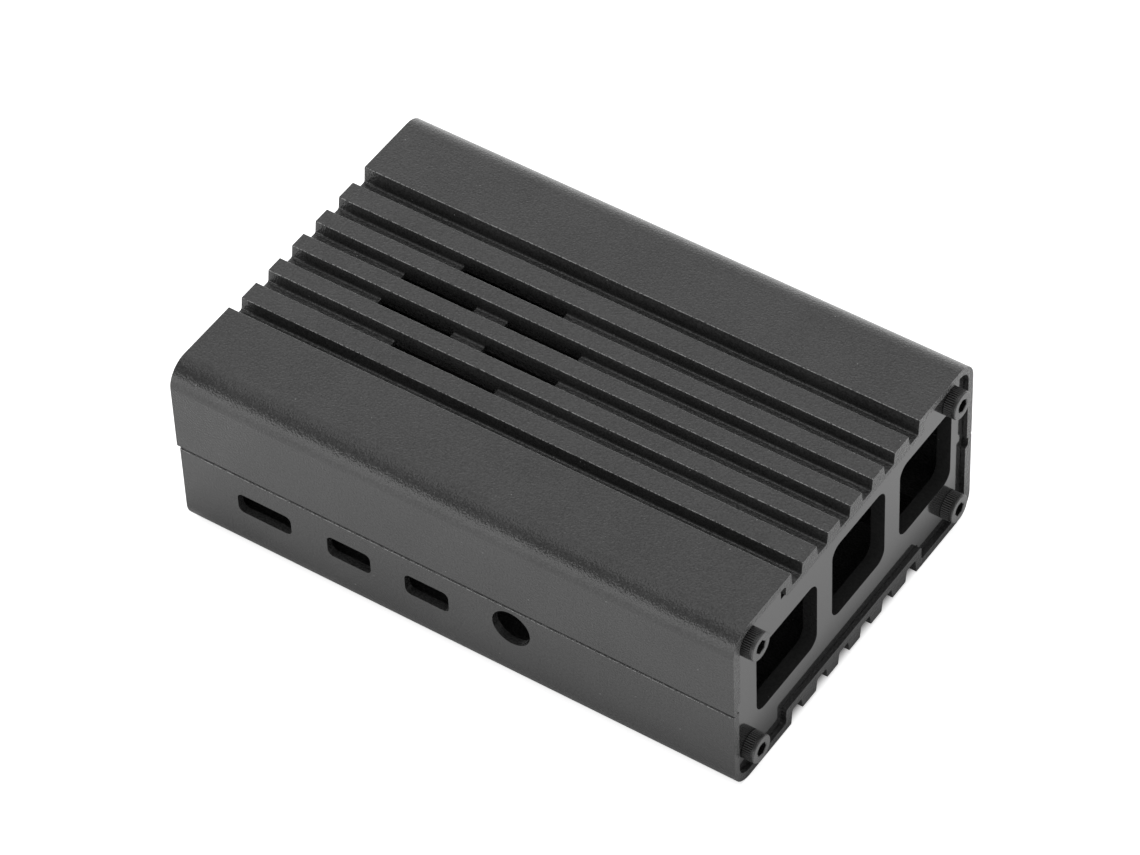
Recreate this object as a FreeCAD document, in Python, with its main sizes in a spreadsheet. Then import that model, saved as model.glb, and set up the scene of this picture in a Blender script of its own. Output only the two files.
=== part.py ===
import FreeCAD, Part

import math
import os
import re

import Sketcher

# Aluminium case for an 85 x 56 mm single board computer: two ribbed half shells, extruded along X,
# that meet in a lap joint at mid-height, and an end plate let into each mouth and held by four
# socket head screws. X runs from the card end (-X) to the port end (+X), Y from the port side
# (-Y, near) to the plain side (+Y, far), Z up from the face that the case stands on.

# Driving dimensions in millimetres: name, value, meaning.
SIZES = (
    ("board_length", 85.0, "of the board, along the case"),
    ("board_width", 56.0, "of the board, across the case"),
    ("board_inset_end", 3.85, "board from the card end"),
    ("board_port_gap", 6.15, "board from the port end"),
    ("board_inset_side", 4.5, "board from the near face"),
    ("board_inset_far", 2.5, "board from the far face"),
    ("board_hole_inset", 3.5, "hole from the board's edges"),
    ("board_hole_length", 58.0, "hole spacing along the case"),
    ("board_hole_depth", 4.5, "of the tapped holes"),
    ("rail_cover", 0.95, "from the lower end screws' holes to the board's seat"),
    ("rail_land", 2.45, "from a board hole's axis to the rail's edge"),
    ("corner_radius", 3.9, "outside, along the long edges"),
    ("inner_radius", 2.5, "inside, along the long edges"),
    ("groove_width", 2.95, "at the rib's top"),
    ("groove_depth", 2.1, "below the rib's top"),
    ("groove_draft", 0.3, "by which each groove wall leans in"),
    ("groove_corner", 0.35, "radius at the groove floor"),
    ("rib_edge", 0.15, "radius along the ribs and flats"),
    ("outer_rib_width", 3.6, "first and last rib"),
    ("inner_rib_width", 2.9, "the ribs between"),
    ("rib_drop", 0.66, "of the ribs below the flats"),
    ("top_wall", 1.3, "under the upper flats"),
    ("top_web", 0.9, "under the upper grooves"),
    ("bottom_wall", 1.45, "over the lower flats"),
    ("bottom_web", 1.45, "over the lower grooves"),
    ("groove_wall", 1.35, "from the outermost groove to the step inside"),
    ("step_radius", 0.6, "of the steps inside"),
    ("thin_side_wall", 1.3, "side wall that carries a tongue"),
    ("thick_side_wall", 1.65, "side wall with the rebate"),
    ("lap_lip", 0.9, "outer lip beside the rebate"),
    ("lap_depth", 1.7, "of the rebate from the seam"),
    ("lap_radius", 0.3, "of the rebate's corners"),
    ("lap_gap", 0.1, "between lip and tongue"),
    ("tongue_thickness", 0.5, "of the tongue"),
    ("tongue_height", 1.5, "of the tongue past the seam"),
    ("tongue_root", 1.0, "of the tongue's foot on its own wall"),
    ("upper_seam_chamfer", 0.3, "along the upper shell's edge outside"),
    ("lower_seam_chamfer", 0.15, "along the lower shell's edge outside"),
    ("card_end_setback", 0.5, "of the lower shell at the card end"),
    ("plate_recess", 0.75, "of the plate's face behind the shell's end"),
    ("plate_thickness", 2.35, "of both end plates"),
    ("plate_gap", 0.1, "around the end plates"),
    ("plate_top_gap", 0.8, "over the plates, under the upper grooves"),
    ("screw_inset_side", 5.0, "screw axis from the side face"),
    ("screw_inset_height", 5.1, "screw axis from base and top"),
    ("boss_radius", 2.3, "round side of the upper screw bosses"),
    ("screw_radius", 1.25, "outside of the thread"),
    ("screw_length", 4.0, "under the head"),
    ("head_radius", 2.25, "of the screw head"),
    ("head_height", 2.05, "of the screw head"),
    ("rim_chamfer", 0.2, "around the head's front"),
    ("socket_across", 2.0, "across the flats of the hexagon"),
    ("socket_depth", 1.1, "of the hexagon"),
    ("thread_gap", 0.05, "around the thread in a tapped hole"),
    ("shank_gap", 0.2, "around the screw in the plate"),
    ("tip_gap", 0.3, "past the screw's tip"),
    ("port_rise", 1.15, "from the board's seat to the side ports' lower edge"),
    ("port_corner", 1.0, "radius of the side ports"),
    ("power_port_place", 11.2, "centre from the board's end"),
    ("power_port_width", 9.4, "along the case"),
    ("power_port_height", 3.7, "upwards"),
    ("video_port_first", 26.0, "centre from the board's end"),
    ("video_port_second", 39.5, "centre from the board's end"),
    ("video_port_width", 7.55, "along the case"),
    ("video_port_height", 3.9, "upwards"),
    ("jack_hole_place", 54.0, "centre from the board's end"),
    ("jack_rise", 4.5, "from the board's seat to the round hole's centre"),
    ("jack_hole_radius", 3.2, "of the round hole"),
    ("seam_land", 0.95, "from the round hole to the seam"),
    ("opening_corner", 2.0, "radius of the plate's openings"),
    ("opening_inset_near", 2.4, "first opening from the board's near edge"),
    ("opening_inset_far", 2.0, "last opening from the board's far edge"),
    ("opening_web", 3.95, "between the openings"),
    ("network_extra", 1.7, "by which the first opening is wider"),
    ("network_rise", 2.0, "from the board's seat to the opening's lower edge"),
    ("network_height", 13.0, "of the opening"),
    ("socket_rise", 2.75, "from the board's seat to the openings' lower edge"),
    ("socket_height", 14.6, "of both"),
    ("socket_headroom", 7.3, "from the openings' upper edge to the top"),
    ("card_width", 14.0, "of the card opening"),
    ("card_drop", 2.15, "from the board's seat down to the opening's lower edge"),
    ("card_height", 3.4, "of the card opening"),
    ("card_corner", 1.0, "radius of the card opening"),
    ("vent_centre", 31.25, "middle of the vents from the card end"),
    ("vent_width", 2.5, "of each slot"),
    ("long_vent_length", 17.8, "in the second and fifth groove"),
    ("short_vent_length", 12.65, "in the two middle grooves"),
    ("short_vent_spacing", 18.05, "of the two slots in one groove"),
)

# The grooves across each shell, with a rib between each two of them.
GROOVES = 6
RIBS = "2 * outer_rib_width + %d * inner_rib_width" % (GROOVES - 3)

# Dimensions that follow from those: name, formula, meaning.
DERIVED = (
    ("case_length", "board_inset_end + board_length + board_port_gap", "shells, end to end"),
    ("case_width", "board_inset_side + board_width + board_inset_far", "over the side walls"),
    ("board_seat", "screw_inset_height + screw_radius + thread_gap + rail_cover",
     "of the rails that carry the board"),
    ("jack_hole_height", "board_seat + jack_rise", "centre above the base"),
    ("seam_height", "jack_hole_height + jack_hole_radius + seam_land", "above the base"),
    ("socket_sill", "board_seat + socket_rise", "lower edge above the base"),
    ("case_height", "socket_sill + socket_height + socket_headroom", "over both shells"),
    ("upper_height", "case_height - seam_height", "of the upper shell"),
    ("flat_width", "(case_width - %d * groove_width - (%s)) / 2" % (GROOVES, RIBS),
     "from a side face to the first groove"),
    ("step_inset", "flat_width - groove_wall", "of the steps inside from the side faces"),
    ("groove_drop", "rib_drop + groove_depth", "of the groove floors below the flats"),
    ("inner_floor", "groove_drop + bottom_web", "under the ribs, above the base"),
    ("inner_ceiling", "groove_drop + top_web", "over the ribs, below the top"),
    ("seat_depth", "plate_recess + plate_thickness", "of the plates' seats from the ends"),
    ("near_rail_edge", "board_inset_side + board_hole_inset + rail_land", "from the near face"),
    ("far_rail_edge", "board_inset_far + board_hole_inset + rail_land", "from the far face"),
    ("boss_edge", "screw_inset_side + boss_radius", "of the bosses from the side faces"),
    ("boss_foot", "screw_inset_height + boss_radius", "of the bosses below the top"),
    ("port_sill", "board_seat + port_rise", "lower edge above the base"),
    ("socket_width", "(board_width - opening_inset_near - opening_inset_far"
     " - 2 * opening_web - network_extra) / 3", "of the second and third opening"),
    ("network_width", "socket_width + network_extra", "of the first opening"),
    ("network_place", "opening_inset_near + network_width / 2", "from the board's near edge"),
    ("socket_first", "opening_inset_near + network_width + opening_web + socket_width / 2",
     "from the board's near edge"),
    ("socket_second", "board_width - opening_inset_far - socket_width / 2",
     "from the board's near edge"),
    ("network_sill", "board_seat + network_rise", "lower edge above the base"),
    ("card_place", "board_width / 2", "from the board's near edge"),
    ("card_sill", "board_seat - card_drop", "lower edge above the base"),
)

# A sketch that cuts an open side runs this far past the metal.
PAST = "2"

doc = FreeCAD.newDocument("Case")


def named(words):
    """Return an expression in which every size's name points at its cell."""
    return re.sub(r"[a-z]+(?:_[a-z]+)+", lambda found: "Sizes." + found.group(), words)


def near(inset):
    """Return the place across the case at an inset from the near face."""
    return "-case_width / 2 + (%s)" % inset


def far(inset):
    """Return the place across the case at an inset from the far face."""
    return "case_width / 2 - (%s)" % inset


def up_from_base(inset):
    """Return the height at an inset from the base."""
    return inset


def down_from_top(inset):
    """Return the height at an inset from the top."""
    return "case_height - (%s)" % inset


def from_card_end(inset):
    """Return the place along the case at an inset from the card end."""
    return "-case_length / 2 + (%s)" % inset


def along_board(place):
    """Return the place along the case of a point on the board."""
    return from_card_end("board_inset_end + %s" % place)


def across_board(place):
    """Return the place across the case of a point on the board."""
    return near("board_inset_side + %s" % place)


def make_sheet():
    """Write the dimensions into the sheet, one named cell each, the derived ones as formulas."""
    sheet = doc.addObject("Spreadsheet::Sheet", "Sizes")
    cells = [(name, str(value), meaning) for name, value, meaning in SIZES]
    cells += [(name, "=" + formula, meaning) for name, formula, meaning in DERIVED]
    for row, (name, content, meaning) in enumerate(cells, start=1):
        sheet.set("A%d" % row, name)
        sheet.set("B%d" % row, content)
        sheet.set("C%d" % row, meaning)
        sheet.setAlias("B%d" % row, name)
    doc.recompute()


def make_body(name):
    """Add a body for one sub-part."""
    body = doc.addObject("PartDesign::Body", name)
    body.Label = name
    return body


def plane_of(body, role):
    """Return the body's own origin plane with this role."""
    return [plane for plane in body.Origin.OriginFeatures if plane.Role == role][0]


def make_sketch(body, name, role, offset="0"):
    """Add a sketch on one of the body's origin planes, moved along the plane's normal."""
    sketch = body.newObject("Sketcher::SketchObject", name)
    sketch.AttachmentSupport = (plane_of(body, role), [""])
    sketch.MapMode = "FlatFace"
    sketch.setExpression("AttachmentOffset.Base.z", named(offset))
    return sketch


def bind(sketch, limits):
    """Add constraints to a sketch, each (kind and places, words), tied to the sheet by its words."""
    first = sketch.ConstraintCount
    plain = []
    for places, words in limits:
        if words is None:
            plain.append(Sketcher.Constraint(*places))
        else:
            plain.append(Sketcher.Constraint(*places, sketch.evalExpression(named(words))))
    sketch.addConstraint(plain)
    for index, (places, words) in enumerate(limits, start=first):
        if words is not None:
            sketch.setExpression("Constraints[%d]" % index, named(words))


def draw_outline(sketch, corners):
    """Draw a closed outline of straight runs.

    Each corner is (across, up) where it is sharp, or (across, up, radius) where it is rounded.
    """
    first = sketch.GeometryCount
    count = len(corners)
    points = []
    for corner in corners:
        across = sketch.evalExpression(named(corner[0]))
        up = sketch.evalExpression(named(corner[1]))
        points.append(FreeCAD.Vector(across, up, 0))
    ends = []
    rounds = []
    for index, corner in enumerate(corners):
        back = (points[index - 1] - points[index]).normalize()
        ahead = (points[(index + 1) % count] - points[index]).normalize()
        if len(corner) == 2:
            ends.append((points[index], points[index]))
            continue
        radius = sketch.evalExpression(named(corner[2]))
        half_angle = back.getAngle(ahead) / 2
        run = radius / math.tan(half_angle)
        middle = points[index] + (back + ahead).normalize() * (radius / math.sin(half_angle))
        entry = points[index] + back * run
        leave = points[index] + ahead * run
        ends.append((entry, leave))
        turns_left = back.cross(ahead).z < 0
        start, stop = (entry, leave) if turns_left else (leave, entry)
        start_angle = math.atan2(start.y - middle.y, start.x - middle.x)
        stop_angle = math.atan2(stop.y - middle.y, stop.x - middle.x)
        circle = Part.Circle(middle, FreeCAD.Vector(0, 0, 1), radius)
        rounds.append((index, Part.ArcOfCircle(circle, start_angle, stop_angle), turns_left))

    lines = []
    for index in range(count):
        lines.append(Part.LineSegment(ends[index][1], ends[(index + 1) % count][0]))
    sketch.addGeometry(lines, False)
    limits = []
    for index, corner in enumerate(corners):
        if len(corner) == 2:
            before = first + (index - 1) % count
            limits.append((("Coincident", before, 2, first + index, 1), None))
            limits.append((("DistanceX", first + index, 1), corner[0]))
            limits.append((("DistanceY", first + index, 1), corner[1]))
    for index, arc, turns_left in rounds:
        before = first + (index - 1) % count
        after = first + index
        bend = sketch.addGeometry(arc, False)
        tip = sketch.addGeometry(Part.Point(points[index]), True)
        entry_end, leave_end = (1, 2) if turns_left else (2, 1)
        limits.append((("Tangent", before, 2, bend, entry_end), None))
        limits.append((("Tangent", after, 1, bend, leave_end), None))
        limits.append((("PointOnObject", tip, 1, before), None))
        limits.append((("PointOnObject", tip, 1, after), None))
        limits.append((("DistanceX", tip, 1), corners[index][0]))
        limits.append((("DistanceY", tip, 1), corners[index][1]))
        limits.append((("Radius", bend), corners[index][2]))
    bind(sketch, limits)


def draw_window(sketch, centre, sill, width, height, radius):
    """Draw an upright window with rounded corners."""
    left = "%s - %s / 2" % (centre, width)
    right = "%s + %s / 2" % (centre, width)
    lintel = "%s + %s" % (sill, height)
    draw_outline(sketch, [(left, sill, radius), (right, sill, radius),
                          (right, lintel, radius), (left, lintel, radius)])


def draw_slot(sketch, along, across, length, width):
    """Draw a slot with square ends, centred on a place."""
    left = "%s - %s / 2" % (along, length)
    right = "%s + %s / 2" % (along, length)
    low = "%s - %s / 2" % (across, width)
    high = "%s + %s / 2" % (across, width)
    draw_outline(sketch, [(left, low), (right, low), (right, high), (left, high)])


def draw_circle(sketch, across, up, radius):
    """Draw a circle."""
    middle = FreeCAD.Vector(sketch.evalExpression(named(across)), sketch.evalExpression(named(up)), 0)
    size = sketch.evalExpression(named(radius))
    ring = sketch.addGeometry(Part.Circle(middle, FreeCAD.Vector(0, 0, 1), size), False)
    bind(sketch, [(("DistanceX", ring, 3), across),
                  (("DistanceY", ring, 3), up),
                  (("Radius", ring), radius)])


def pad(body, name, sketch, length, both_ways=False):
    """Grow a sketch into the body."""
    feature = body.newObject("PartDesign::Pad", name)
    feature.Profile = sketch
    feature.setExpression("Length", named(length))
    feature.Midplane = both_ways
    doc.recompute()
    return feature


def pocket(body, name, sketch, depth, both_ways=False, backwards=False):
    """Cut a sketch out of the body, against the sketch's normal unless it goes backwards."""
    feature = body.newObject("PartDesign::Pocket", name)
    feature.Profile = sketch
    feature.setExpression("Length", named(depth))
    feature.Midplane = both_ways
    feature.Reversed = backwards
    doc.recompute()
    return feature


def mirror_to_card_end(body, name, features):
    """Repeat what is cut at the port end at the card end."""
    mirror = body.newObject("PartDesign::Mirrored", name)
    mirror.Originals = features
    mirror.MirrorPlane = (plane_of(body, "YZ_Plane"), [""])
    body.Tip = mirror
    doc.recompute()


def groove_starts():
    """Return each groove's near edge as an inset from the near face."""
    starts = []
    start = "flat_width"
    for groove in range(GROOVES):
        starts.append(start)
        rib = "outer_rib_width" if groove in (0, GROOVES - 2) else "inner_rib_width"
        start = "%s + groove_width + %s" % (start, rib)
    return starts


def cut_grooves(body, height):
    """Cut the grooves and lower the ribs between them; height turns an inset into a place."""
    corners = [(near("step_inset"), height("-" + PAST)), (near("step_inset"), height("0"))]
    for groove, start in enumerate(groove_starts()):
        stop = start + " + groove_width"
        near_top = "0" if groove == 0 else "rib_drop"
        far_top = "0" if groove == GROOVES - 1 else "rib_drop"
        corners.append((near(start), height(near_top), "rib_edge"))
        corners.append((near(start + " + groove_draft"), height("groove_drop"), "groove_corner"))
        corners.append((near(stop + " - groove_draft"), height("groove_drop"), "groove_corner"))
        corners.append((near(stop), height(far_top), "rib_edge"))
    corners.append((far("step_inset"), height("0")))
    corners.append((far("step_inset"), height("-" + PAST)))
    sketch = make_sketch(body, body.Label + "_groove_section", "YZ_Plane")
    draw_outline(sketch, corners)
    pocket(body, body.Label + "_grooves", sketch, "case_length + " + PAST, both_ways=True)


def draw_half_section(sketch, height, seam, chamfer):
    """Draw the outside of one shell, from its flats to the seam."""
    edge = "%s - %s" % (seam, chamfer)
    draw_outline(sketch, [(near("0"), height(edge)), (near(chamfer), height(seam)),
                          (far(chamfer), height(seam)), (far("0"), height(edge)),
                          (far("0"), height("0"), "corner_radius"),
                          (near("0"), height("0"), "corner_radius")])


def cut_cavity(body, height, seam, thin_side, thick_side, wall, step):
    """Hollow one shell out, with the steps over its ribs and the rebate in its thick side wall."""
    past_seam = height("%s + %s" % (seam, PAST))
    ledge = height("%s - lap_depth" % seam)
    sketch = make_sketch(body, body.Label + "_cavity_section", "YZ_Plane")
    draw_outline(sketch, [(thin_side("thin_side_wall"), past_seam),
                          (thin_side("thin_side_wall"), height(wall), "inner_radius"),
                          (thin_side("step_inset"), height(wall), "step_radius"),
                          (thin_side("step_inset"), height(step), "step_radius"),
                          (thick_side("step_inset"), height(step), "step_radius"),
                          (thick_side("step_inset"), height(wall), "step_radius"),
                          (thick_side("thick_side_wall"), height(wall), "inner_radius"),
                          (thick_side("thick_side_wall"), ledge, "lap_radius"),
                          (thick_side("lap_lip"), ledge, "lap_radius"),
                          (thick_side("lap_lip"), past_seam)])
    pocket(body, body.Label + "_cavity", sketch, "case_length + " + PAST, both_ways=True)


def add_tongue(body, side, height, seam):
    """Add the tongue that reaches past the seam, between the two end plates."""
    outer = "lap_lip + lap_gap"
    inner = outer + " + tongue_thickness"
    sketch = make_sketch(body, body.Label + "_tongue_section", "YZ_Plane")
    draw_outline(sketch, [(side(outer), height("%s - tongue_root" % seam)),
                          (side(outer), height("%s + tongue_height" % seam)),
                          (side(inner), height("%s + tongue_height" % seam)),
                          (side(inner), height("%s - tongue_root + tongue_thickness" % seam)),
                          (side("thin_side_wall"), height("%s - tongue_root" % seam))])
    length = "case_length - 2 * (seat_depth + plate_gap)"
    pad(body, body.Label + "_tongue", sketch, length, both_ways=True)


def add_between_plates(body, name, corners):
    """Add a rail or boss that runs from one end plate to the other and carries both."""
    sketch = make_sketch(body, name + "_section", "YZ_Plane")
    draw_outline(sketch, corners)
    pad(body, name, sketch, "case_length - 2 * seat_depth", both_ways=True)


def cut_end_bores(body, height):
    """Cut the tapped holes of the end screws, two at each end."""
    sketch = make_sketch(body, body.Label + "_bore_section", "YZ_Plane", "case_length / 2")
    for side in (near, far):
        draw_circle(sketch, side("screw_inset_side"), height("screw_inset_height"),
                    "screw_radius + thread_gap")
    bores = pocket(body, body.Label + "_bores", sketch, "plate_recess + screw_length + tip_gap")
    mirror_to_card_end(body, body.Label + "_card_end_bores", [bores])


def make_top_shell():
    """Build the upper shell: thick wall near, thin wall with its tongue far."""
    body = make_body("top_shell")
    height = down_from_top
    section = make_sketch(body, "top_section", "YZ_Plane")
    draw_half_section(section, height, "upper_height", "upper_seam_chamfer")
    pad(body, "top_form", section, "case_length", both_ways=True)
    cut_cavity(body, height, "upper_height", far, near, "top_wall", "inner_ceiling")
    for side_name, side in (("near", near), ("far", far)):
        add_between_plates(body, side_name + "_boss", [
            (side("lap_lip"), height("top_wall / 2"), "corner_radius - lap_lip"),
            (side("lap_lip"), height("boss_foot")),
            (side("boss_edge"), height("boss_foot"), "boss_radius"),
            (side("boss_edge"), height("top_wall / 2"))])
    cut_end_bores(body, height)
    cut_grooves(body, height)
    add_tongue(body, far, height, "upper_height")
    cut_vents(body)
    return body


def cut_vents(body):
    """Cut the vent slots through the floors of the four middle grooves."""
    sketch = make_sketch(body, "vent_plan", "XY_Plane", "case_height")
    centre = from_card_end("vent_centre")
    slots = []
    for groove, start in enumerate(groove_starts()):
        across = near(start + " + groove_width / 2")
        if groove in (1, GROOVES - 2):
            slots.append((centre, across, "long_vent_length"))
        elif 1 < groove < GROOVES - 2:
            slots.append((centre + " - short_vent_spacing / 2", across, "short_vent_length"))
            slots.append((centre + " + short_vent_spacing / 2", across, "short_vent_length"))
    for along, across, length in slots:
        draw_slot(sketch, along, across, length, "vent_width")
    pocket(body, "vents", sketch, "upper_height")


def make_bottom_shell():
    """Build the lower shell: thin wall with its tongue and the ports near, thick wall far."""
    body = make_body("bottom_shell")
    height = up_from_base
    section = make_sketch(body, "bottom_section", "YZ_Plane")
    draw_half_section(section, height, "seam_height", "lower_seam_chamfer")
    pad(body, "bottom_form", section, "case_length", both_ways=True)
    cut_cavity(body, height, "seam_height", near, far, "bottom_wall", "inner_floor")
    for side_name, side in (("near", near), ("far", far)):
        edge = side(side_name + "_rail_edge")
        add_between_plates(body, side_name + "_rail", [
            (side("lap_lip"), "bottom_wall / 2", "corner_radius - lap_lip"),
            (edge, "bottom_wall / 2"),
            (edge, "board_seat"), (side("lap_lip"), "board_seat")])
    cut_end_bores(body, height)
    cut_grooves(body, height)
    add_tongue(body, near, height, "seam_height")
    cut_side_ports(body)
    cut_board_holes(body)

    above = "seam_height + " + PAST
    trim = make_sketch(body, "bottom_trim_section", "YZ_Plane", "-case_length / 2")
    draw_outline(trim, [(near("-" + PAST), "-" + PAST), (far("-" + PAST), "-" + PAST),
                        (far("-" + PAST), above), (near("-" + PAST), above)])
    pocket(body, "bottom_trim", trim, "card_end_setback", backwards=True)
    return body


def cut_side_ports(body):
    """Cut the power port, the two video ports and the round hole through the near wall."""
    sketch = make_sketch(body, "side_port_plan", "XZ_Plane", "case_width / 2")
    draw_window(sketch, along_board("power_port_place"), "port_sill",
                "power_port_width", "power_port_height", "port_corner")
    for place in ("video_port_first", "video_port_second"):
        draw_window(sketch, along_board(place), "port_sill",
                    "video_port_width", "video_port_height", "port_corner")
    draw_circle(sketch, along_board("jack_hole_place"), "jack_hole_height", "jack_hole_radius")
    pocket(body, "side_ports", sketch, "2 * thick_side_wall")


def cut_board_holes(body):
    """Cut the four tapped holes for the board into the rails."""
    sketch = make_sketch(body, "board_hole_plan", "XY_Plane", "board_seat")
    for along in ("board_hole_inset", "board_hole_inset + board_hole_length"):
        for across in ("board_hole_inset", "board_width - board_hole_inset"):
            draw_circle(sketch, along_board(along), across_board(across),
                        "screw_radius + thread_gap")
    pocket(body, "board_holes", sketch, "board_hole_depth")


def make_end_plate(name, face_place):
    """Build an end plate without its socket openings; its outer face or inner face is at a place."""
    body = make_body(name)
    gap = " + plate_gap"
    low = "bottom_wall" + gap
    high = down_from_top("top_wall" + gap)
    middle_low = "inner_floor" + gap
    middle_high = down_from_top("inner_ceiling + plate_top_gap")
    inner_step = "step_inset - plate_gap"
    long_corner = "inner_radius - plate_gap"
    lower_jog = "seam_height - lap_depth" + gap
    upper_jog = "seam_height + lap_depth - plate_gap"
    sketch = make_sketch(body, name + "_outline", "YZ_Plane")
    draw_outline(sketch, [
        (near("thin_side_wall" + gap), low, long_corner),
        (near(inner_step), low, "step_radius"), (near(inner_step), middle_low, "step_radius"),
        (far(inner_step), middle_low, "step_radius"), (far(inner_step), low, "step_radius"),
        (far("thick_side_wall" + gap), low, long_corner),
        (far("thick_side_wall" + gap), lower_jog), (far("thin_side_wall" + gap), lower_jog),
        (far("thin_side_wall" + gap), high, long_corner),
        (far(inner_step), high, "step_radius"), (far(inner_step), middle_high),
        (near(inner_step), middle_high), (near(inner_step), high, "step_radius"),
        (near("thick_side_wall" + gap), high, long_corner),
        (near("thick_side_wall" + gap), upper_jog), (near("thin_side_wall" + gap), upper_jog)])
    for side in (near, far):
        for height in (up_from_base, down_from_top):
            draw_circle(sketch, side("screw_inset_side"), height("screw_inset_height"),
                        "screw_radius + shank_gap")
    pad(body, name + "_form", sketch, "plate_thickness")
    body.setExpression("Placement.Base.x", named(face_place))
    return body


def make_port_end_plate():
    """Build the plate with the network opening and the two socket openings."""
    body = make_end_plate("port_end_plate", "case_length / 2 - seat_depth")
    sketch = make_sketch(body, "socket_openings", "YZ_Plane", "plate_thickness")
    draw_window(sketch, across_board("network_place"), "network_sill",
                "network_width", "network_height", "opening_corner")
    for place in ("socket_first", "socket_second"):
        draw_window(sketch, across_board(place), "socket_sill",
                    "socket_width", "socket_height", "opening_corner")
    pocket(body, "sockets", sketch, "plate_thickness")
    return body


def make_card_end_plate():
    """Build the plate with the opening for the memory card."""
    body = make_end_plate("card_end_plate", "plate_recess - case_length / 2")
    sketch = make_sketch(body, "card_opening", "YZ_Plane", "plate_thickness")
    draw_window(sketch, across_board("card_place"), "card_sill",
                "card_width", "card_height", "card_corner")
    pocket(body, "card_slot", sketch, "plate_thickness")
    return body


def make_screw(name, along, across, up, turned):
    """Build a socket head screw with its head's seat at a place and its head pointing outwards."""
    body = make_body(name)
    profile = make_sketch(body, name + "_profile", "XY_Plane")
    draw_outline(profile, [("-screw_length", "0"), ("head_height", "0"),
                           ("head_height", "head_radius - rim_chamfer"),
                           ("head_height - rim_chamfer", "head_radius"),
                           ("0", "head_radius"), ("0", "screw_radius"),
                           ("-screw_length", "screw_radius")])
    turn = body.newObject("PartDesign::Revolution", name + "_form")
    turn.Profile = profile
    turn.ReferenceAxis = (profile, ["H_Axis"])
    turn.Angle = 360
    doc.recompute()

    hexagon = make_sketch(body, name + "_socket", "YZ_Plane", "head_height")
    corners = []
    for side in range(6):
        angle = "%d deg" % (60 * side)
        reach = "socket_across / 2 / cos(30 deg)"
        corners.append(("%s * cos(%s)" % (reach, angle), "%s * sin(%s)" % (reach, angle)))
    draw_outline(hexagon, corners)
    pocket(body, name + "_hexagon", hexagon, "socket_depth")

    if turned:
        body.Placement.Rotation = FreeCAD.Rotation(FreeCAD.Vector(0, 0, 1), 180)
    body.setExpression("Placement.Base.x", named(along))
    body.setExpression("Placement.Base.y", named(across))
    body.setExpression("Placement.Base.z", named(up))
    return body


def make_screws():
    """Build the four screws of each end plate."""
    screws = []
    for end, along, turned in (("port", "case_length / 2 - plate_recess", False),
                               ("card", "plate_recess - case_length / 2", True)):
        for side_name, side in (("near", near), ("far", far)):
            for level_name, level in (("top", down_from_top), ("bottom", up_from_base)):
                name = "%s_screw_%s_%s" % (end, side_name, level_name)
                screws.append(make_screw(name, along, side("screw_inset_side"),
                                         level("screw_inset_height"), turned))
    return screws


def check(parts):
    """Stop if an object failed, a cut removed nothing or a sub-part is no single valid solid."""
    for item in doc.Objects:
        if "Invalid" in item.State or "Error" in item.State:
            raise RuntimeError("%s failed" % item.Label)
        if item.TypeId == "PartDesign::Pocket":
            if item.Shape.Volume > item.BaseFeature.Shape.Volume * (1 - 1e-7):
                raise RuntimeError("%s cuts nothing" % item.Label)
    for part in parts:
        shape = part.Shape
        if shape.isNull() or not shape.isValid() or len(shape.Solids) != 1:
            raise RuntimeError("%s is no single valid solid" % part.Label)


def main():
    """Build every sub-part, check it and write it to its own file."""
    make_sheet()
    parts = [make_top_shell(), make_bottom_shell(), make_port_end_plate(), make_card_end_plate()]
    parts += make_screws()
    doc.recompute()
    check(parts)
    os.makedirs("parts", exist_ok=True)
    for part in parts:
        part.Shape.exportStep("parts/%s.step" % part.Label)
        box = part.Shape.BoundBox
        print("%-24s volume %9.1f  x %7.2f %7.2f  y %7.2f %7.2f  z %6.2f %6.2f" % (
            part.Label, part.Shape.Volume, box.XMin, box.XMax, box.YMin, box.YMax,
            box.ZMin, box.ZMax))


main()
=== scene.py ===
"""Looks of an aluminium case for a single board computer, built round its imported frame.

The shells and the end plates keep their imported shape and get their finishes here. The screws are
modelled again with knurled heads and threads. A white table, soft lamps and the camera complete
the picture.
"""

import logging
import math
from dataclasses import dataclass
from enum import Enum

import bmesh
import bpy
from mathutils import Matrix, Vector


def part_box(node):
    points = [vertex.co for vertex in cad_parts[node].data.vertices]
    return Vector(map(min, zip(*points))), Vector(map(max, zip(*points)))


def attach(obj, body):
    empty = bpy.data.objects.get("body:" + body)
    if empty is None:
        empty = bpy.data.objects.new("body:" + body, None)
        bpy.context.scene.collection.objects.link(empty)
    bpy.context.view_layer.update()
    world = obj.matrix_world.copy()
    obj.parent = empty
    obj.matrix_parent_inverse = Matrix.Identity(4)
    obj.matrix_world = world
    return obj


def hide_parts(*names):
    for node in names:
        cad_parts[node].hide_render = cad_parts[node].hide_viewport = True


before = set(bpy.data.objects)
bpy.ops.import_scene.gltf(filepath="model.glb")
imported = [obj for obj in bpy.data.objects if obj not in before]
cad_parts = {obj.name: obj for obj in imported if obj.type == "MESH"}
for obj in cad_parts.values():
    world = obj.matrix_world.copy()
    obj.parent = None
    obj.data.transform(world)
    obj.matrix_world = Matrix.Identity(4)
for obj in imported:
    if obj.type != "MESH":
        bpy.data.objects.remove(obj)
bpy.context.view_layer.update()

MM = 0.001
BODY = "root"
WORN = "worn"
log = logging.getLogger("case")


class CaseEnd(Enum):
    """The two ends of the case, with the way that each one faces along X."""

    PORT = 1
    CARD = -1


def grey(level: float) -> tuple[float, float, float, float]:
    """Return a neutral colour of one level."""
    return (level, level, level, 1.0)


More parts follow.
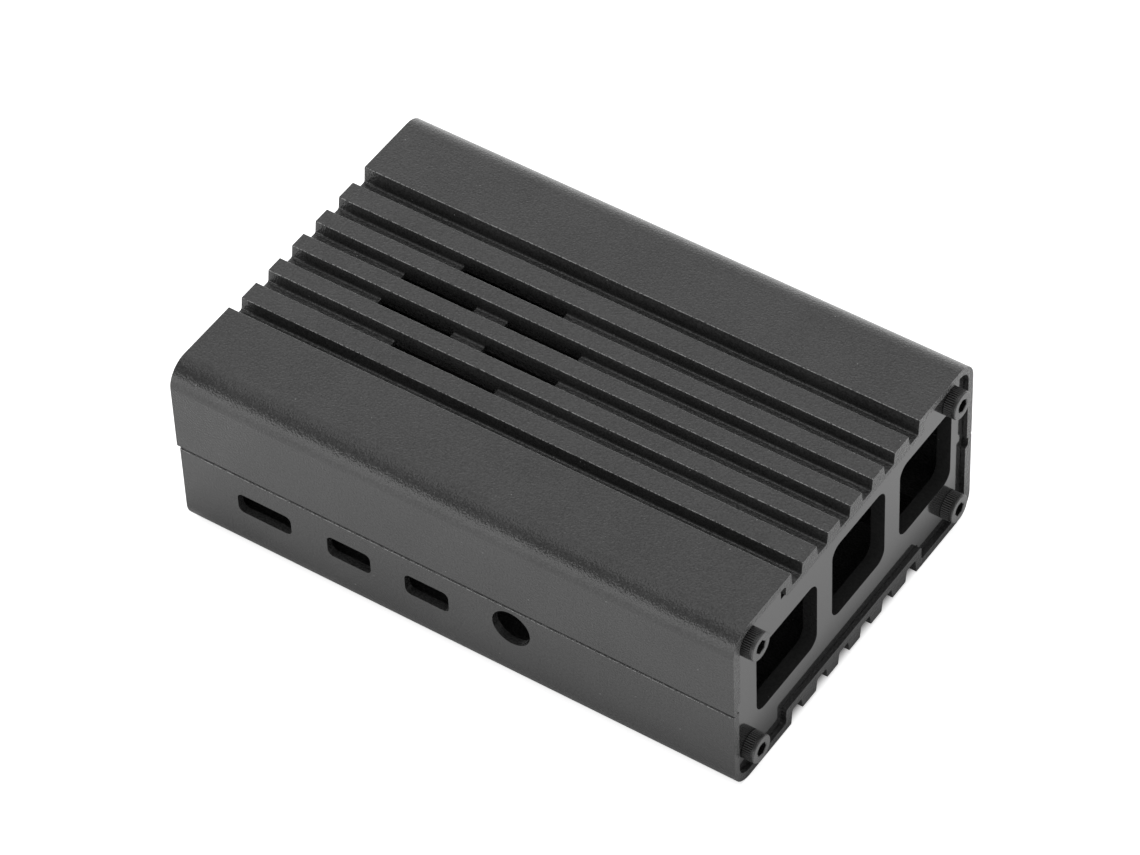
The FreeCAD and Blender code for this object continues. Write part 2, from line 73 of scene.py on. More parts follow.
def direction(azimuth: float, elevation: float) -> Vector:
    """Return the way from the case to something round it.

    Args:
        azimuth: degrees from -Y towards +X.
        elevation: degrees above the horizon.

    Returns:
        The unit vector.
    """
    turn, rise = math.radians(azimuth), math.radians(elevation)
    return Vector((math.sin(turn) * math.cos(rise), -math.cos(turn) * math.cos(rise),
                   math.sin(rise)))


@dataclass(frozen=True)
class NodeTree:
    """A small helper that adds nodes to one tree and wires them.

    Args:
        tree: the node tree to fill.
    """

    tree: bpy.types.NodeTree

    def add(self, kind: str, **settings: object) -> bpy.types.Node:
        """Add a node.

        Args:
            kind: the node's type name, without its ShaderNode prefix.
            settings: attributes to set on it.

        Returns:
            The new node.
        """
        prefix = "" if kind.startswith("NodeGroup") else "ShaderNode"
        node = self.tree.nodes.new(prefix + kind)
        for name, value in settings.items():
            setattr(node, name, value)
        return node

    def feed(self, target: bpy.types.NodeSocket, source: object) -> None:
        """Give an input its value, or wire an output to it.

        Args:
            target: the input.
            source: an output socket, or a plain value.
        """
        if isinstance(source, bpy.types.NodeSocket):
            self.tree.links.new(source, target)
        else:
            target.default_value = source

    def math(self, operation: str, first: object, second: object = 0.0) -> bpy.types.NodeSocket:
        """Add a Math node.

        Args:
            operation: the operation's name.
            first: first value or output.
            second: second value or output.

        Returns:
            The result.
        """
        node = self.add("Math", operation=operation)
        self.feed(node.inputs[0], first)
        self.feed(node.inputs[1], second)
        return node.outputs[0]

    def ramp(self, value: object, low: float, high: float, to_low: float = 0.0,
             to_high: float = 1.0) -> bpy.types.NodeSocket:
        """Map a range of values to another one, smoothly and within its ends.

        Args:
            value: the value or output to map.
            low: start of its range.
            high: end of its range.
            to_low: result at the start.
            to_high: result at the end.

        Returns:
            The result.
        """
        node = self.add("MapRange", interpolation_type="SMOOTHSTEP", clamp=True)
        self.feed(node.inputs["Value"], value)
        self.feed(node.inputs["From Min"], low)
        self.feed(node.inputs["From Max"], high)
        self.feed(node.inputs["To Min"], to_low)
        self.feed(node.inputs["To Max"], to_high)
        return node.outputs["Result"]

    def noise(self, where: object, scale: object, detail: float) -> bpy.types.NodeSocket:
        """Add a noise pattern.

        Args:
            where: the coordinates, in metres.
            scale: features in each metre, as a value or an output.
            detail: octaves.

        Returns:
            The pattern's value.
        """
        node = self.add("TexNoise")
        self.feed(node.inputs["Vector"], where)
        self.feed(node.inputs["Scale"], scale)
        self.feed(node.inputs["Detail"], detail)
        return node.outputs["Fac"]

    def per_metre(self, size: object) -> bpy.types.NodeSocket:
        """Return how many features of a size in millimetres fit in a metre."""
        return self.math("DIVIDE", 1.0 / MM, size)

    def mix_color(self, share: object, first: object, second: object) -> bpy.types.NodeSocket:
        """Mix two colours.

        Args:
            share: share of the second colour.
            first: first colour or output.
            second: second colour or output.

        Returns:
            The mixed colour.
        """
        node = self.add("Mix", data_type="RGBA")
        self.feed(node.inputs["Factor"], share)
        self.feed(node.inputs["A"], first)
        self.feed(node.inputs["B"], second)
        return node.outputs["Result"]


def new_group(name: str, inputs: dict[str, float],
              outputs: tuple[str, ...]) -> tuple[NodeTree, bpy.types.Node, bpy.types.Node]:
    """Start a shader node group.

    Args:
        name: its name.
        inputs: name and value of each input.
        outputs: name of each output.

    Returns:
        The helper of its tree, its input node and its output node.
    """
    tree = bpy.data.node_groups.new(name, "ShaderNodeTree")
    for title, value in inputs.items():
        socket = tree.interface.new_socket(title, in_out="INPUT", socket_type="NodeSocketFloat")
        socket.default_value = value
    for title in outputs:
        tree.interface.new_socket(title, in_out="OUTPUT", socket_type="NodeSocketFloat")
    nodes = NodeTree(tree)
    return nodes, nodes.add("NodeGroupInput"), nodes.add("NodeGroupOutput")


@dataclass(frozen=True)
class BlastedGrain:
    """The blasted grain: its height, its share of light tops and rare bright specks.

    Args:
        grain_mm: size of the grain.
        cloud_mm: size of the soft clouds in its shade.
        speck_mm: size of the cells that may hold a speck.
        grain_detail: octaves of the grain.
        cloud_detail: octaves of the clouds.
        cloud_share: share of the clouds in the shade.
        dot: how far from its middle a speck is whole and has ended, in cells.
        plain_share: share of the cells that hold no speck.
    """

    grain_mm: float = 0.22
    cloud_mm: float = 9.0
    speck_mm: float = 1.6
    grain_detail: float = 2.0
    cloud_detail: float = 3.0
    cloud_share: float = 0.25
    dot: tuple[float, float] = (0.03, 0.08)
    plain_share: float = 0.80

    def make(self) -> bpy.types.NodeTree:
        """Build the node group.

        Returns:
            The node group.
        """
        nodes, given, result = new_group(
            "blasted_grain",
            {"Grain mm": self.grain_mm, "Cloud mm": self.cloud_mm, "Speck mm": self.speck_mm},
            ("Height", "Shade", "Specks"))
        place = nodes.add("TexCoord").outputs["Object"]
        fine = nodes.noise(place, nodes.per_metre(given.outputs["Grain mm"]), self.grain_detail)
        cloud = nodes.noise(place, nodes.per_metre(given.outputs["Cloud mm"]), self.cloud_detail)
        cells = nodes.add("TexVoronoi", feature="F1")
        nodes.feed(cells.inputs["Vector"], place)
        nodes.feed(cells.inputs["Scale"], nodes.per_metre(given.outputs["Speck mm"]))
        dot = nodes.ramp(cells.outputs["Distance"], *self.dot, 1.0, 0.0)
        draw = nodes.add("TexWhiteNoise")
        nodes.feed(draw.inputs["Vector"], cells.outputs["Position"])
        rare = nodes.math("GREATER_THAN", draw.outputs["Value"], self.plain_share)
        nodes.feed(result.inputs["Height"], fine)
        nodes.feed(result.inputs["Shade"],
                   nodes.math("ADD", nodes.math("MULTIPLY", fine, 1.0 - self.cloud_share),
                              nodes.math("MULTIPLY", cloud, self.cloud_share)))
        nodes.feed(result.inputs["Specks"], nodes.math("MULTIPLY", dot, rare))
        return nodes.tree


@dataclass(frozen=True)
class CutEnds:
    """The faces cut across the case, with their coarser mottle.

    Args:
        mottle_mm: size of the mottle.
        mottle_detail: octaves of the mottle.
        facing: how squarely a face looks along X where its mask begins and is whole.
    """

    mottle_mm: float = 0.7
    mottle_detail: float = 4.0
    facing: tuple[float, float] = (0.9, 0.98)

    def make(self) -> bpy.types.NodeTree:
        """Build the node group.

        Returns:
            The node group.
        """
        nodes, given, result = new_group("cut_ends", {"Mottle mm": self.mottle_mm},
                                         ("Mask", "Mottle"))
        spot = nodes.add("TexCoord")
        parts = nodes.add("SeparateXYZ")
        nodes.feed(parts.inputs["Vector"], spot.outputs["Normal"])
        along = nodes.math("ABSOLUTE", parts.outputs["X"])
        nodes.feed(result.inputs["Mask"], nodes.ramp(along, *self.facing))
        nodes.feed(result.inputs["Mottle"],
                   nodes.noise(spot.outputs["Object"], nodes.per_metre(given.outputs["Mottle mm"]),
                               self.mottle_detail))
        return nodes.tree


@dataclass(frozen=True)
class SheenAndRubbedEdges:
    """The edges where the black is rubbed off in dots.

    These are the ribs' rounded edges and the lower shell's edge along the seam.

    Args:
        reach_mm: how far the ribs reach to each side of the case's middle.
        band_mm: how far the painted highlight reaches down from the case's top and up from its
            foot.
        seam_mm: half the height of the lighter strip under the seam.
        dot_mm: size of the dots.
        dot_detail: octaves of the dots.
        dot_edge: the pattern's values where a dot begins and is whole.
        leaning: how far a face turns to the side where a rounded edge begins and is whole.
        upright: how far it turns where a rounded edge has ended and where it is still whole.
        seam_share: share of the strip that is made lighter, which leaves the seam's own line.
    """

    reach_mm: float = 17.6
    band_mm: float = 1.4
    seam_mm: float = 0.14
    dot_mm: float = 0.2
    dot_detail: float = 1.0
    dot_edge: tuple[float, float] = (0.40, 0.58)
    leaning: tuple[float, float] = (0.2, 0.4)
    upright: tuple[float, float] = (0.97, 0.9)
    seam_share: float = 0.95

    def make(self) -> bpy.types.NodeTree:
        """Build the node group.

        Returns:
            The node group.
        """
        nodes, given, result = new_group(
            "rubbed_edges",
            {"Reach mm": self.reach_mm, "Band mm": self.band_mm, "Seam mm": self.seam_mm,
             "Dot mm": self.dot_mm}, ("Mask",))
        spot = nodes.add("TexCoord")
        facing = nodes.add("SeparateXYZ")
        nodes.feed(facing.inputs["Vector"], spot.outputs["Normal"])
        lean = nodes.math("ABSOLUTE", facing.outputs["Y"])
        place = nodes.add("SeparateXYZ")
        nodes.feed(place.inputs["Vector"], spot.outputs["Object"])
        low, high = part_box("bottom_shell")[0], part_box("top_shell")[1]
        above_seam = nodes.math("SUBTRACT", place.outputs["Z"], (low.z + high.z) / 2)

        # the rounded edges of the ribs, on the case's top and under its foot, get the painted
        # highlight
        rounded = nodes.math("MULTIPLY", nodes.ramp(lean, *self.leaning),
                             nodes.ramp(lean, *self.upright))
        on_ribs = nodes.math("LESS_THAN", nodes.math("ABSOLUTE", place.outputs["Y"]),
                             nodes.math("MULTIPLY", given.outputs["Reach mm"], MM))
        band = nodes.math("SUBTRACT", (high.z - low.z) / 2,
                          nodes.math("MULTIPLY", given.outputs["Band mm"], MM))
        on_tops = nodes.math("GREATER_THAN", nodes.math("ABSOLUTE", above_seam), band)
        ribs = nodes.math("MULTIPLY", nodes.math("MULTIPLY", on_ribs, on_tops), rounded)

        # a narrow strip of the side walls, right under the seam
        strip = nodes.math("MULTIPLY", given.outputs["Seam mm"], MM)
        near_seam = nodes.math("COMPARE", nodes.math("ADD", above_seam, strip), 0.0)
        nodes.feed(near_seam.node.inputs[2], nodes.math("MULTIPLY", strip, self.seam_share))
        on_wall = nodes.math("GREATER_THAN", lean, self.upright[0])
        seam = nodes.math("MULTIPLY", near_seam, on_wall)

        # the painted highlight and the lighter strip come in dots, not in whole lines
        dots = nodes.ramp(nodes.noise(spot.outputs["Object"],
                                      nodes.per_metre(given.outputs["Dot mm"]), self.dot_detail),
                          *self.dot_edge)
        nodes.feed(result.inputs["Mask"],
                   nodes.math("MULTIPLY", nodes.math("MAXIMUM", ribs, seam), dots))
        return nodes.tree


class Finishes:
    """Holds the effects that the case's materials are made with."""

    def __init__(self) -> None:
        """Build the node group of each effect once."""
        self.grain = BlastedGrain().make()
        self.cut_ends = CutEnds().make()
        self.rubbed_edges = SheenAndRubbedEdges().make()


@dataclass(frozen=True)
class BlackMetal:
    """A blackened metal surface with a blasted grain.

    Args:
        name: the material's name.
        dark: base level in the grain's pits.
        light: base level on the grain's tops.
        smooth: lowest roughness.
        rough: highest roughness.
        grain_mm: size of the grain.
        relief_mm: height of the grain.
        cut_relief_mm: height of the mottle where the metal was cut across.
        speck: level of the rare bright specks.
        edge_mm: reach of the broken edges.
        sheen_and_rubbed: level of the painted highlight on the edges, in dots, or 0.
        worn: level of the places that the piece marks as worn, or 0.
        index: refractive index of the black layer.
        shades: the grain's shades between which the surface goes from its pits to its tops.
        edge_samples: rays that look for a broken edge.
    """

    name: str
    dark: float
    light: float
    smooth: float
    rough: float
    grain_mm: float
    relief_mm: float
    cut_relief_mm: float
    speck: float
    edge_mm: float
    sheen_and_rubbed: float = 0.0
    worn: float = 0.0
    index: float = 1.5
    shades: tuple[float, float] = (0.3, 0.7)
    edge_samples: int = 4

    def make(self, finishes: Finishes) -> bpy.types.Material:
        """Build the material.

        Args:
            finishes: holder of the shared node groups.

        Returns:
            The material.
        """
        material = bpy.data.materials.new(self.name)
        material.use_nodes = True
        nodes = NodeTree(material.node_tree)
        shader = material.node_tree.nodes["Principled BSDF"]
        shader.inputs["IOR"].default_value = self.index
        grain = nodes.add("Group", node_tree=finishes.grain)
        grain.inputs["Grain mm"].default_value = self.grain_mm
        nodes.feed(shader.inputs["Base Color"], self.colour(nodes, grain, finishes))
        nodes.feed(shader.inputs["Roughness"],
                   nodes.ramp(grain.outputs["Shade"], *self.shades, self.smooth, self.rough))
        nodes.feed(shader.inputs["Normal"], self.relief(nodes, grain, finishes))
        return material

    def colour(self, nodes: NodeTree, grain: bpy.types.Node,
               finishes: Finishes) -> bpy.types.NodeSocket:
        """Mix the grain's colour with its specks, with the painted edge highlight and with the
        worn places.

        Args:
            nodes: helper of the material.
            grain: the grain's node.
            finishes: holder of the shared node groups.

        Returns:
            The colour.
        """
        shade = nodes.ramp(grain.outputs["Shade"], *self.shades)
        base = nodes.mix_color(shade, grey(self.dark), grey(self.light))
        colour = nodes.mix_color(grain.outputs["Specks"], base, grey(self.speck))
        # painted highlight on the ribs' edges, in dots
        if self.sheen_and_rubbed:
            edges = nodes.add("Group", node_tree=finishes.rubbed_edges)
            colour = nodes.mix_color(edges.outputs["Mask"], colour, grey(self.sheen_and_rubbed))
        if self.worn:
            marks = nodes.add("Attribute", attribute_name=WORN)
            colour = nodes.mix_color(marks.outputs["Fac"], colour, grey(self.worn))
        return colour

    def relief(self, nodes: NodeTree, grain: bpy.types.Node,
               finishes: Finishes) -> bpy.types.NodeSocket:
        """Lay the cut ends' mottle and the grain over the broken edges.

        Args:
            nodes: helper of the material.
            grain: the grain's node.
            finishes: holder of the shared node groups.

        Returns:
            The normal.
        """
        edge = nodes.add("Bevel", samples=self.edge_samples)
        edge.inputs["Radius"].default_value = self.edge_mm * MM
        cut = nodes.add("Group", node_tree=finishes.cut_ends)
        mottle = nodes.add("Bump")
        mottle.inputs["Distance"].default_value = self.cut_relief_mm * MM
        nodes.feed(mottle.inputs["Height"],
                   nodes.math("MULTIPLY", cut.outputs["Mask"], cut.outputs["Mottle"]))
        nodes.feed(mottle.inputs["Normal"], edge.outputs["Normal"])
        bump = nodes.add("Bump")
        bump.inputs["Distance"].default_value = self.relief_mm * MM
        nodes.feed(bump.inputs["Height"], grain.outputs["Height"])
        nodes.feed(bump.inputs["Normal"], mottle.outputs["Normal"])
        return bump.outputs["Normal"]


SHELL_FINISH = BlackMetal("shell_black", dark=0.025, light=0.056, smooth=0.12, rough=0.17,
                          grain_mm=0.30, relief_mm=0.100, cut_relief_mm=0.06, speck=0.28,
                          edge_mm=0.08, sheen_and_rubbed=0.34)
PLATE_FINISH = BlackMetal("plate_black", dark=0.034, light=0.046, smooth=0.08, rough=0.12,
                          grain_mm=0.40, relief_mm=0.0015, cut_relief_mm=0.002, speck=0.15,
                          edge_mm=0.10, index=1.65)
SCREW_FINISH = BlackMetal("screw_black", dark=0.006, light=0.014, smooth=0.22, rough=0.30,
                          grain_mm=0.15, relief_mm=0.010, cut_relief_mm=0.020, speck=0.20,
                          edge_mm=0.02, worn=0.16, index=1.6)


def dress(node: str, material: bpy.types.Material) -> None:
    """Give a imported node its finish.

    Args:
        node: the node's name.
        material: the finish.
    """
    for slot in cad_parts[node].material_slots:
        slot.material = material
    log.info("dressed %s in %s", node, material.name)


@dataclass
class SocketScrew:
    """A socket head screw with a knurled head, in millimetres along its own axis.

    It is modelled along X with the underside of its head at 0 and the head on the plus side.

    Args:
        node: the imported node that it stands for.
        end: the end of the case that it sits in.
        turn: how far it is screwed round, in degrees.
        shank_length: length under the head.
        thread_radius: radius of the thread's crests.
        thread_root: radius of the thread's grooves.
        pitch: from one crest to the next.
        tip_chamfer: length of the tip before the first groove.
        head_radius: radius of the knurl's crests.
        teeth: number of crests round the head.
        points_per_tooth: points from one crest to the next.
        tooth_depth: depth of the knurl's grooves.
        knurl_inset: length over which the knurl runs out, at either side of it.
        knurl_end: place on the axis up to which the knurl is whole.
        foot_radius: radius of the head's underside.
        rim_radius: radius of the rounding round the head's face.
        rim_steps: faces across that rounding.
        face_wear: share of wear on the face, where the knurl's crests have 1.
        mouth_radius: radius of the socket's countersink.
        mouth_depth: depth of the countersink.
        socket_across: width of the hexagon across its flats.
        socket_depth: depth of the hexagon.
        cone_depth: depth of the drill's cone in the hexagon's floor.
        cone_radius: radius of the cone's bottom.
    """

    node: str
    end: CaseEnd
    turn: float
    shank_length: float = 4.0
    thread_radius: float = 1.25
    thread_root: float = 0.98
    pitch: float = 0.45
    tip_chamfer: float = 0.27
    head_radius: float = 2.25
    teeth: int = 40
    points_per_tooth: int = 4
    tooth_depth: float = 0.16
    knurl_inset: float = 0.10
    knurl_end: float = 1.4
    foot_radius: float = 2.08
    rim_radius: float = 0.2
    rim_steps: int = 4
    face_wear: float = 0.35
    mouth_radius: float = 1.24
    mouth_depth: float = 0.07
    socket_across: float = 2.0
    socket_depth: float = 1.1
    cone_depth: float = 0.3
    cone_radius: float = 0.08

    def ring(self, shape: bmesh.types.BMesh, radius: float,
             along: float) -> list[bmesh.types.BMVert]:
        """Add one ring round the axis.

        Args:
            shape: mesh to add it to.
            radius: radius of the ring.
            along: place on the axis.

        Returns:
            The ring's points.
        """
        facing = Matrix.Translation((along, 0, 0)) @ Matrix.Rotation(math.pi / 2, 4, "Y")
        return bmesh.ops.create_circle(shape, segments=self.teeth * self.points_per_tooth,
                                       radius=radius, matrix=facing)["verts"]

    def knurled_ring(self, shape: bmesh.types.BMesh, along: float) -> list[bmesh.types.BMVert]:
        """Add one ring whose points stand on the knurl's crests and in its grooves.

        Args:
            shape: mesh to add it to.
            along: place on the axis.

        Returns:
            The ring's points.
        """
        points = self.ring(shape, self.head_radius, along)
        axis = Vector((along, 0, 0))
        worn = shape.verts.layers.float[WORN]
        for index, point in enumerate(points):
            if index % self.points_per_tooth < self.points_per_tooth // 2:
                point[worn] = 1.0
            else:
                point.co = axis + (point.co - axis) * (1 - self.tooth_depth / self.head_radius)
        return points

    def worn_ring(self, shape: bmesh.types.BMesh, radius: float,
                  along: float) -> list[bmesh.types.BMVert]:
        """Add one ring that is worn evenly.

        Args:
            shape: mesh to add it to.
            radius: radius of the ring.
            along: place on the axis.

        Returns:
            The ring's points.
        """
        points = self.ring(shape, radius, along)
        worn = shape.verts.layers.float[WORN]
        for point in points:
            point[worn] = self.face_wear
        return points

    def hexagon_ring(self, shape: bmesh.types.BMesh, along: float) -> list[bmesh.types.BMVert]:
        """Add one ring whose points lie on the hexagon of the socket.

        Args:
            shape: mesh to add it to.
            along: place on the axis.

        Returns:
            The ring's points.
        """
        flat = self.socket_across / 2
        side = math.pi / 3
        points = self.ring(shape, flat, along)
        axis = Vector((along, 0, 0))
        for point in points:
            arm = point.co - axis
            angle = math.atan2(arm.z, arm.y) % side - side / 2
            point.co = axis + arm / math.cos(angle)
        return points

    def add_rings(self, shape: bmesh.types.BMesh) -> list[list[bmesh.types.BMVert]]:
        """Add the screw's rings in order, from its tip over its head into its socket.

        Args:
            shape: mesh to add them to.

        Returns:
            The rings.
        """
        low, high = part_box(self.node)
        front = (high.x - low.x) / MM - self.shank_length
        start = self.tip_chamfer - self.shank_length
        rings = [self.ring(shape, self.thread_root - self.tip_chamfer / 2, -self.shank_length)]
        for step in range(int(2 * -start / self.pitch)):
            radius = self.thread_radius if step % 2 else self.thread_root
            rings.append(self.ring(shape, radius, start + step * self.pitch / 2))
        rings.append(self.ring(shape, self.thread_root, 0))
        rings.append(self.ring(shape, self.foot_radius, 0))
        rings.append(self.knurled_ring(shape, self.knurl_inset))
        rings.append(self.knurled_ring(shape, self.knurl_end))
        rings.append(self.worn_ring(shape, self.head_radius, self.knurl_end + self.knurl_inset))
        for step in range(self.rim_steps + 1):
            bend = math.pi / 2 * step / self.rim_steps
            radius = self.head_radius - self.rim_radius * (1 - math.cos(bend))
            along = front - self.rim_radius * (1 - math.sin(bend))
            rings.append(self.worn_ring(shape, radius, along))
        rings.append(self.worn_ring(shape, self.mouth_radius, front))
        rings.append(self.hexagon_ring(shape, front - self.mouth_depth))
        rings.append(self.hexagon_ring(shape, front - self.socket_depth))
        rings.append(self.ring(shape, self.cone_radius,
                               front - self.socket_depth - self.cone_depth))
        return rings

    def placement(self) -> Matrix:
        """Find the screw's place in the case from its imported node.

        Returns:
            The matrix from millimetres along its own axis to its place in metres.
        """
        low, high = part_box(self.node)
        at_port = self.end is CaseEnd.PORT
        tip = low.x if at_port else high.x
        seat = Vector((tip + self.end.value * self.shank_length * MM, (low.y + high.y) / 2,
                       (low.z + high.z) / 2))
        facing = Matrix.Rotation(0.0 if at_port else math.pi, 4, "Z")
        turned = Matrix.Rotation(math.radians(self.turn), 4, "X")
        return Matrix.Translation(seat) @ facing @ turned @ Matrix.Scale(MM, 4)

    def build(self, material: bpy.types.Material) -> None:
        """Model the screw in its place and let it stand for its node.

        Args:
            material: its finish.
        """
        shape = bmesh.new()
        shape.verts.layers.float.new(WORN)
        rings = self.add_rings(shape)
        for first, second in zip(rings, rings[1:]):
            pair = set(first) | set(second)
            edges = [edge for edge in shape.edges
                     if (edge.is_wire or edge.is_boundary) and set(edge.verts) <= pair]
            bmesh.ops.bridge_loops(shape, edges=edges)
        for ring in (rings[0], rings[-1]):
            bmesh.ops.contextual_create(shape, geom=ring)
        bmesh.ops.recalc_face_normals(shape, faces=shape.faces)
        shape.transform(self.placement())

        name = self.node + "_knurled"
        mesh = bpy.data.meshes.new(name)
        shape.to_mesh(mesh)
        shape.free()
        mesh.materials.append(material)
        screw = bpy.data.objects.new(name, mesh)
        bpy.context.collection.objects.link(screw)
        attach(screw, BODY)
        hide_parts(self.node)
        log.info("built %s", screw.name)


@dataclass
class Case:
    """The whole case: shells, end plates and screws.

    Args:
        shells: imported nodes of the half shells.
        plates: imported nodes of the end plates.
        screw_turns: how far each screw is screwed round, in degrees, the port end's four first.
    """

    shells: tuple[str, ...] = ("top_shell", "bottom_shell")
    plates: tuple[str, ...] = ("port_end_plate", "card_end_plate")
    screw_turns: tuple[float, ...] = (12.0, 47.0, 31.0, 4.0, 22.0, 55.0, 38.0, 9.0)

    def build(self) -> None:
        """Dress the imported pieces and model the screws."""
        finishes = Finishes()
        shell_black = SHELL_FINISH.make(finishes)
        plate_black = PLATE_FINISH.make(finishes)
        screw_black = SCREW_FINISH.make(finishes)
        for node in self.shells:
            dress(node, shell_black)
        for node in self.plates:
            dress(node, plate_black)
        places = [(end, "%s_screw_%s_%s" % (end.name.lower(), side, level))
                  for end in CaseEnd for side in ("near", "far") for level in ("top", "bottom")]
        for (end, node), turn in zip(places, self.screw_turns):
            SocketScrew(node, end, turn).build(screw_black)


@dataclass(frozen=True)
class Softbox:
    """A soft lamp that looks at the case and stays out of the camera's sight.

    Args:
        name: its name.
        azimuth: where it stands round the case, in degrees from -Y towards +X.
        elevation: its height in degrees.
        distance: distance in metres.
        size: width and height in metres.
        radiance: brightness of its face, where 1 is white.
    """

    name: str
    azimuth: float
    elevation: float
    distance: float
    size: tuple[float, float]
    radiance: float

    def place(self, target: Vector) -> None:
        """Add the lamp.

        Args:
            target: the point that it faces.
        """
        lamp = bpy.data.lights.new(self.name, "AREA")
        lamp.shape = "RECTANGLE"
        lamp.size, lamp.size_y = self.size
        lamp.energy = self.radiance * math.pi * self.size[0] * self.size[1]
        post = bpy.data.objects.new(self.name, lamp)
        back = direction(self.azimuth, self.elevation)
        post.location = target + back * self.distance
        post.rotation_euler = (-back).to_track_quat("-Z", "Y").to_euler()
        post.visible_camera = False
        bpy.context.collection.objects.link(post)


@dataclass(frozen=True)
class Table:
    """The white table, with a painted shadow right under the case and a painted reflection that is
    brightest away from it.

    Args:
        size: half its width, in metres.
        drop: how far it lies below the case's foot, in metres.
        colour: its level.
        roughness: its roughness.
        glow: brightness added where the camera sees it.
        near_glow: brightness added to its reflection beside the case, kept low there as painted
            shade.
        far_glow: brightness added to its reflection away from the case, as painted light.
        seen_along: where the glow begins and is whole, from the case's ends, in metres; within it
            lies a painted shadow.
        seen_across: the same from its long sides, whose rounded edges stand clear of the table.
        mirrored_along: the same for its reflection, from the ends.
        mirrored_across: the same for its reflection, from the long sides.
        reach: how far from the case its reflection is brightest, in metres.
    """

    size: float = 3.0
    drop: float = 0.0001
    colour: float = 0.9
    roughness: float = 0.8
    glow: float = 0.8
    near_glow: float = 0.44
    far_glow: float = 1.15
    seen_along: tuple[float, float] = (-0.0018, 0.0004)
    seen_across: tuple[float, float] = (-0.004, -0.0012)
    mirrored_along: tuple[float, float] = (0.0, 0.005)
    mirrored_across: tuple[float, float] = (0.0, 0.008)
    reach: float = 0.16

    def distances_from_case(self, nodes: NodeTree) -> list[bpy.types.NodeSocket]:
        """Measure how far a point of the table lies outside the case's ends and long sides.

        Args:
            nodes: helper of the table's material.

        Returns:
            The two distances in metres, below 0 between the ends and between the sides.
        """
        low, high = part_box("top_shell")
        place = nodes.add("SeparateXYZ")
        nodes.feed(place.inputs["Vector"], nodes.add("TexCoord").outputs["Object"])
        gaps = []
        for axis, middle, reach in (("X", (low.x + high.x) / 2, (high.x - low.x) / 2),
                                    ("Y", (low.y + high.y) / 2, (high.y - low.y) / 2)):
            away = nodes.math("ABSOLUTE", nodes.math("SUBTRACT", place.outputs[axis], middle))
            gaps.append(nodes.math("SUBTRACT", away, reach))
        return gaps

    def added_glow(self, nodes: NodeTree) -> bpy.types.NodeSocket:
        """Add up what the camera sees and what the case's metal mirrors.

        Args:
            nodes: helper of the table's material.

        Returns:
            The brightness that is added to the table.
        """
        ray = nodes.add("LightPath")
        along, across = self.distances_from_case(nodes)
        # where the camera sees it, the glow fades out under the case's edges into a painted shadow
        glow = nodes.math("MAXIMUM", nodes.ramp(along, *self.seen_along, 0.0, self.glow),
                          nodes.ramp(across, *self.seen_across, 0.0, self.glow))
        # in the metal, a painted reflection: dim beside the case's foot as painted shade, bright
        # further off
        mirror_glow = nodes.ramp(nodes.math("MAXIMUM", along, across), 0.0, self.reach,
                                 self.near_glow, self.far_glow)
        outside_painted_shade = nodes.math("MAXIMUM", nodes.ramp(along, *self.mirrored_along),
                               nodes.ramp(across, *self.mirrored_across))
        seen = nodes.math("MULTIPLY", ray.outputs["Is Camera Ray"], glow)
        mirrored = nodes.math("MULTIPLY", ray.outputs["Is Glossy Ray"],
                              nodes.math("MULTIPLY", mirror_glow, outside_painted_shade))
        return nodes.math("ADD", seen, mirrored)

    def make_material(self) -> bpy.types.Material:
        """Build the table's white.

        Returns:
            The material.
        """
        material = bpy.data.materials.new("white_table")
        material.use_nodes = True
        nodes = NodeTree(material.node_tree)
        shader = material.node_tree.nodes["Principled BSDF"]
        shader.inputs["Base Color"].default_value = grey(self.colour)
        shader.inputs["Roughness"].default_value = self.roughness
        shader.inputs["Specular IOR Level"].default_value = 0.0
        shader.inputs["Emission Color"].default_value = grey(1.0)
        nodes.feed(shader.inputs["Emission Strength"], self.added_glow(nodes))
        return material

    def build(self) -> None:
        """Add the table."""
        shape = bmesh.new()
        bmesh.ops.create_grid(shape, x_segments=1, y_segments=1, size=self.size)
        bmesh.ops.translate(shape, verts=shape.verts, vec=(0, 0, -self.drop))
        mesh = bpy.data.meshes.new("table")
        shape.to_mesh(mesh)
        shape.free()
        mesh.materials.append(self.make_material())
        table = bpy.data.objects.new("table", mesh)
        bpy.context.collection.objects.link(table)


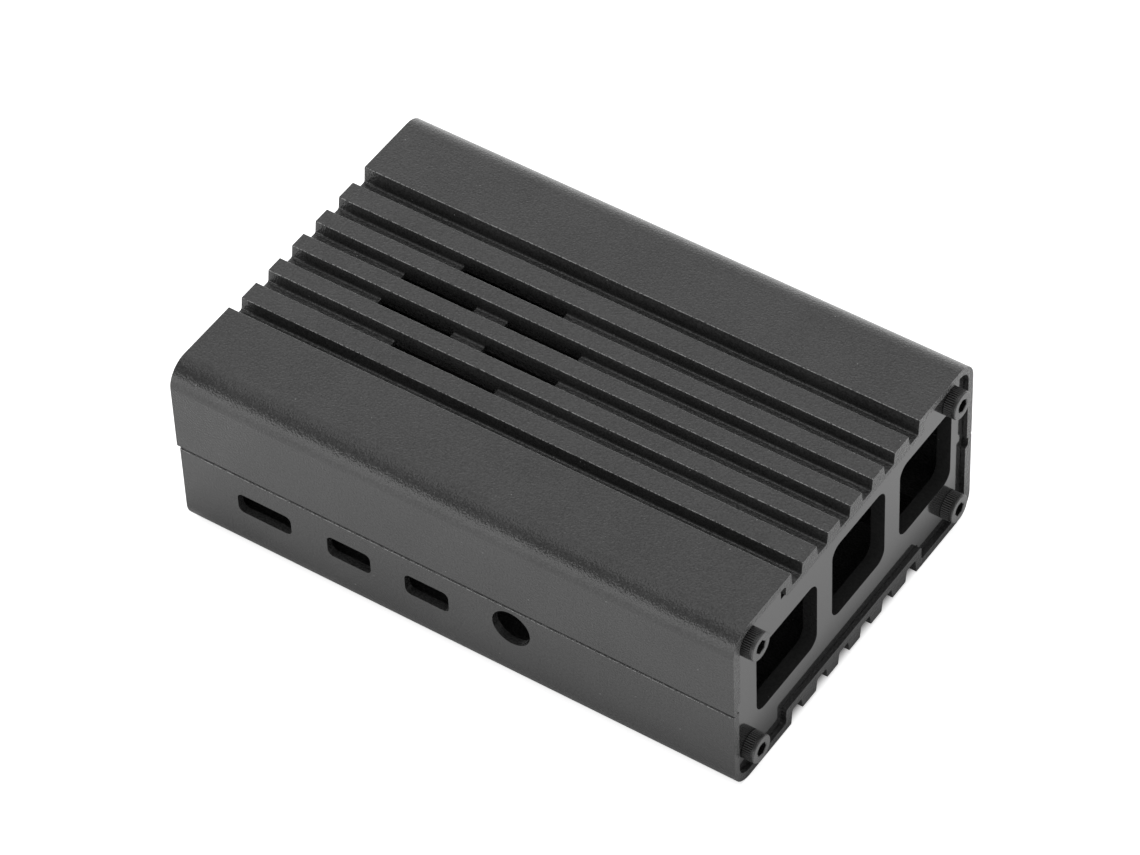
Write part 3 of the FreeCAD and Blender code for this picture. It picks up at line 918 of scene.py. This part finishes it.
@dataclass(frozen=True)
class Studio:
    """The white table, the lamps and the camera.

    Args:
        azimuth: the camera's place, in degrees from -Y towards +X.
        elevation: the camera's height, in degrees.
        roll: how far the camera leans, in degrees.
        distance: from the camera to its aim, in metres.
        lens: focal length, in millimetres.
        sensor: width of the camera's sensor, in millimetres.
        clip: nearest and furthest thing that it sees, in metres.
        aim: the point in the picture's middle, in metres.
        lamps: the soft lamps.
        room: brightness of the room round them.
    """

    azimuth: float = 35.64
    elevation: float = 47.15
    roll: float = -2.52
    distance: float = 0.8052
    lens: float = 177.27
    sensor: float = 36.0
    clip: tuple[float, float] = (0.05, 20.0)
    aim: tuple[float, float, float] = (-0.00112, 0.00080, 0.01721)
    lamps: tuple[Softbox, ...] = (
        Softbox("back_softbox", 212.0, 31.0, 1.2, (1.5, 1.36), 0.66),
        Softbox("back_strip", 205.0, 12.0, 1.2, (1.8, 0.50), 0.36),
        Softbox("front_left_strip", 330.0, 9.0, 1.2, (1.8, 0.50), 2.0),
        Softbox("top_softbox", 290.0, 84.0, 1.2, (0.9, 0.9), 1.1),
    )
    room: float = 0.38

    def build(self) -> None:
        """Set the table, the lamps, the room and the camera."""
        Table().build()
        for lamp in self.lamps:
            lamp.place(Vector(self.aim))
        self.make_room()
        self.make_camera()
        bpy.context.scene.view_settings.view_transform = "Standard"
        log.info("set the table, %d lamps and the camera", len(self.lamps))

    def make_room(self) -> None:
        """Set the room, white where the camera sees it and dimmer elsewhere."""
        world = bpy.data.worlds.new("white_room")
        bpy.context.scene.world = world
        world.use_nodes = True
        nodes = NodeTree(world.node_tree)
        background = world.node_tree.nodes["Background"]
        background.inputs["Color"].default_value = grey(1.0)
        seen = nodes.add("LightPath").outputs["Is Camera Ray"]
        nodes.feed(background.inputs["Strength"], nodes.ramp(seen, 0.0, 1.0, self.room, 1.0))

    def make_camera(self) -> None:
        """Add the camera at the photograph's place."""
        lens = bpy.data.cameras.new("camera")
        lens.lens = self.lens
        lens.sensor_width = self.sensor
        lens.clip_start, lens.clip_end = self.clip
        camera = bpy.data.objects.new("camera", lens)
        back = direction(self.azimuth, self.elevation)
        level = (-back).to_track_quat("-Z", "Y").to_matrix().to_4x4()
        rolled = level @ Matrix.Rotation(math.radians(self.roll), 4, "Z")
        camera.matrix_world = Matrix.Translation(Vector(self.aim) + back * self.distance) @ rolled
        bpy.context.collection.objects.link(camera)
        bpy.context.scene.camera = camera


def main() -> None:
    """Build the case and the studio, in order."""
    logging.basicConfig(level=logging.INFO, format="%(name)s: %(message)s")
    Case().build()
    Studio().build()


if __name__ == "__main__":
    main()
